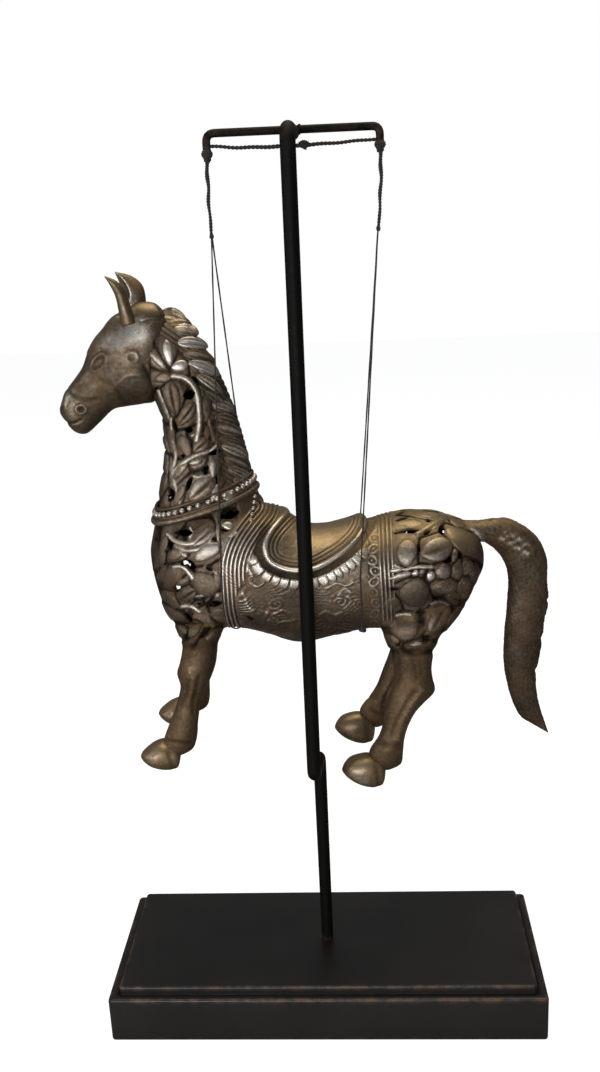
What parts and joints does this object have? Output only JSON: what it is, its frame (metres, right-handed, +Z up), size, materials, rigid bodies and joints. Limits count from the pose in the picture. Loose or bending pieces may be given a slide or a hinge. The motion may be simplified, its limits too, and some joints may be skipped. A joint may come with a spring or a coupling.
{
  "type": "metal horse sculpture on stand",
  "caption": "Openwork cast metal horse with saddle, slung by cords from the crossbar of a bent black rod that rises from a stepped black base.",
  "frame": {"origin": "centre of the base block's underside", "axes": "+Z up along the rod, the horse faces -X and its flank with the upright in front of it faces -Y"},
  "size_m": [0.3096, 0.117, 0.5941],
  "materials": {
    "black_lacquer": "satin black paint, brown where the edges are worn",
    "black_steel": "satin black, brown at the bends",
    "black_cord": "matt black cord",
    "aged_bronze": "aged bronze with a silvered wash on the raised work and dark brown in the hollows"
  },
  "bodies": {
    "root": {"base": "black_lacquer", "post": "black_steel", "crossbar": "black_steel", "tie_cord": "black_cord", "front_cord": "black_cord", "rear_cord": "black_cord", "horse": "aged_bronze"}
  },
  "joints": []
}
